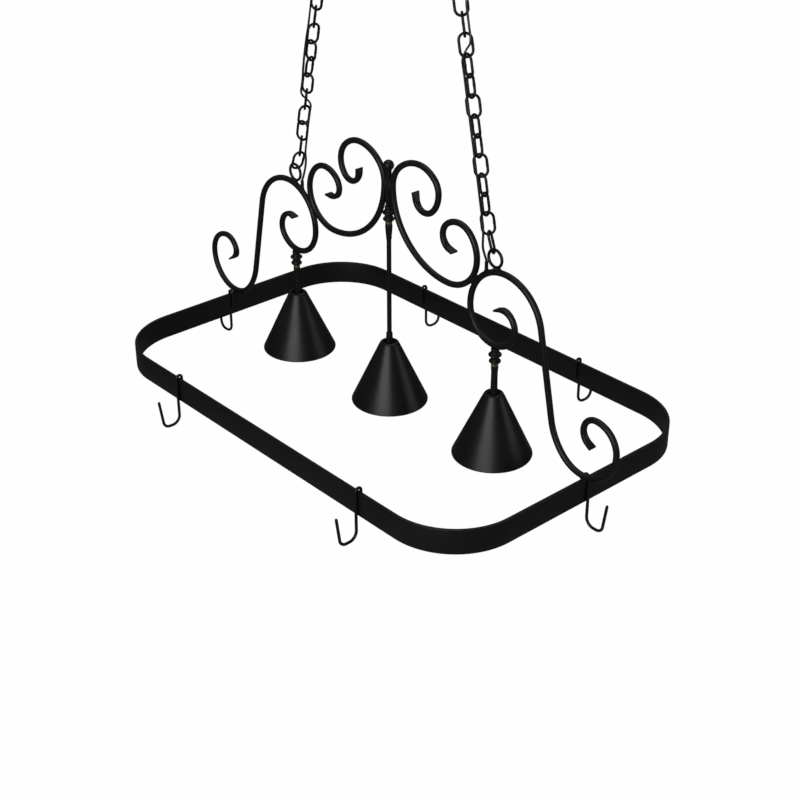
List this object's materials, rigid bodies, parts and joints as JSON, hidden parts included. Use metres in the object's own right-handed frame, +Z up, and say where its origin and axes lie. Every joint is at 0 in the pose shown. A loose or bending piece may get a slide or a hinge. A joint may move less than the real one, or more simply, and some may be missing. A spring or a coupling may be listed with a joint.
{
  "type": "hanging pot rack",
  "caption": "Ceiling-hung pot rack: flat iron ring with scrollwork over its long axis, cone-shaded downlights, chains to ceiling canopies and sliding J hooks.",
  "frame": {"origin": "on the ceiling plane, midway between the two hanger studs", "axes": "+Z up along the studs, +X along the ring's long side, -Y towards the front"},
  "size_m": [0.9566, 0.6044, 0.8386],
  "materials": {
    "black_iron": "satin",
    "brass": "satin",
    "zinc_steel": "satin",
    "black_plastic": "matte",
    "bulb_glass": "frosted",
    "clear_flex": "gloss"
  },
  "bodies": {
    "ceiling_fittings": {"ceiling_loop_left": "black_iron", "ceiling_loop_right": "black_iron", "canopy_left": "black_iron", "canopy_right": "black_iron", "hanger_stud_left": "zinc_steel", "hanger_stud_right": "zinc_steel", "wire_bushing_left": "black_plastic", "wire_bushing_right": "black_plastic", "wire_entry_left": "clear_flex", "wire_entry_right": "clear_flex"},
    "top_links": {"top_link_left": "black_iron", "top_link_right": "black_iron", "wire_bend_left": "clear_flex", "wire_bend_right": "clear_flex"},
    "left_chain": {"chain_left": "black_iron", "wire_left": "clear_flex"},
    "right_chain": {"chain_right": "black_iron", "wire_right": "clear_flex"},
    "rack": {"rim_band": "black_iron", "scroll_outer_left": "black_iron", "scroll_outer_right": "black_iron", "scroll_inner_left": "black_iron", "scroll_inner_right": "black_iron", "finial_ball": "black_iron", "centre_post": "black_iron", "eye_ring_left": "black_iron", "eye_ring_right": "black_iron", "wire_inlet_left": "black_iron", "wire_inlet_right": "black_iron", "knuckle_left": "black_iron", "knuckle_centre": "black_iron", "knuckle_right": "black_iron", "brass_collar_left": "brass", "brass_collar_centre": "brass", "brass_collar_right": "brass", "stem_left": "black_iron", "stem_right": "black_iron", "ferrule_centre": "black_iron", "down_rod": "black_iron", "socket_cup_left": "black_iron", "socket_cup_centre": "black_iron", "socket_cup_right": "black_iron", "lampholder_left": "black_plastic", "lampholder_centre": "black_plastic", "lampholder_right": "black_plastic", "shade_left": "black_iron", "shade_centre": "black_iron", "shade_right": "black_iron", "bulb_left": "bulb_glass", "bulb_centre": "bulb_glass", "bulb_right": "bulb_glass", "wire_tail_left": "clear_flex", "wire_tail_right": "clear_flex"},
    "hook_front_left": {"hook_front_left": "black_iron"},
    "hook_front_right": {"hook_front_right": "black_iron"},
    "hook_back_left": {"hook_back_left": "black_iron"},
    "hook_back_right": {"hook_back_right": "black_iron"},
    "hook_side_left": {"hook_side_left": "black_iron"},
    "hook_side_right": {"hook_side_right": "black_iron"}
  },
  "joints": [
    {"name": "fore_aft_swing", "type": "hinge", "parent": "ceiling_fittings", "child": "top_links", "pos_m": [0, 0, -0.061], "axis": [1, 0, 0], "range_deg": [-15, 15], "deforming": ["wire_bend_left", "wire_bend_right"]},
    {"name": "left_sway", "type": "hinge", "parent": "top_links", "child": "left_chain", "pos_m": [-0.14602, 0, -0.08692], "axis": [0, 1, 0], "range_deg": [-6, 6], "deforming": ["wire_bend_left"]},
    {"name": "right_sway", "type": "hinge", "parent": "top_links", "child": "right_chain", "pos_m": [0.14602, 0, -0.08692], "axis": [0, 1, 0], "range_deg": [-6.05, 6.05], "deforming": ["wire_bend_right"]},
    {"name": "rack_level", "type": "hinge", "parent": "left_chain", "child": "rack", "pos_m": [-0.22819, 0, -0.44272], "axis": [0, 1, 0], "range_deg": [-3.88, 3.88], "deforming": ["wire_tail_left", "wire_tail_right"]},
    {"name": "hook_front_left_slide", "type": "slide", "parent": "rack", "child": "hook_front_left", "axis": [1, 0, 0], "range_m": [-0.089, 0.2]},
    {"name": "hook_front_right_slide", "type": "slide", "parent": "rack", "child": "hook_front_right", "axis": [1, 0, 0], "range_m": [-0.213, 0.076]},
    {"name": "hook_back_left_slide", "type": "slide", "parent": "rack", "child": "hook_back_left", "axis": [1, 0, 0], "range_m": [-0.103, 0.186]},
    {"name": "hook_back_right_slide", "type": "slide", "parent": "rack", "child": "hook_back_right", "axis": [1, 0, 0], "range_m": [-0.156, 0.133]},
    {"name": "hook_side_left_slide", "type": "slide", "parent": "rack", "child": "hook_side_left", "axis": [0, 1, 0], "range_m": [-0.136, 0.0025]},
    {"name": "hook_side_right_slide", "type": "slide", "parent": "rack", "child": "hook_side_right", "axis": [0, 1, 0], "range_m": [-0.0005, 0.138]}
  ],
  "couplings": [
    {"joint": "right_sway", "follows": "left_sway", "ratio": 1},
    {"joint": "rack_level", "follows": "left_sway", "ratio": -0.6399}
  ]
}
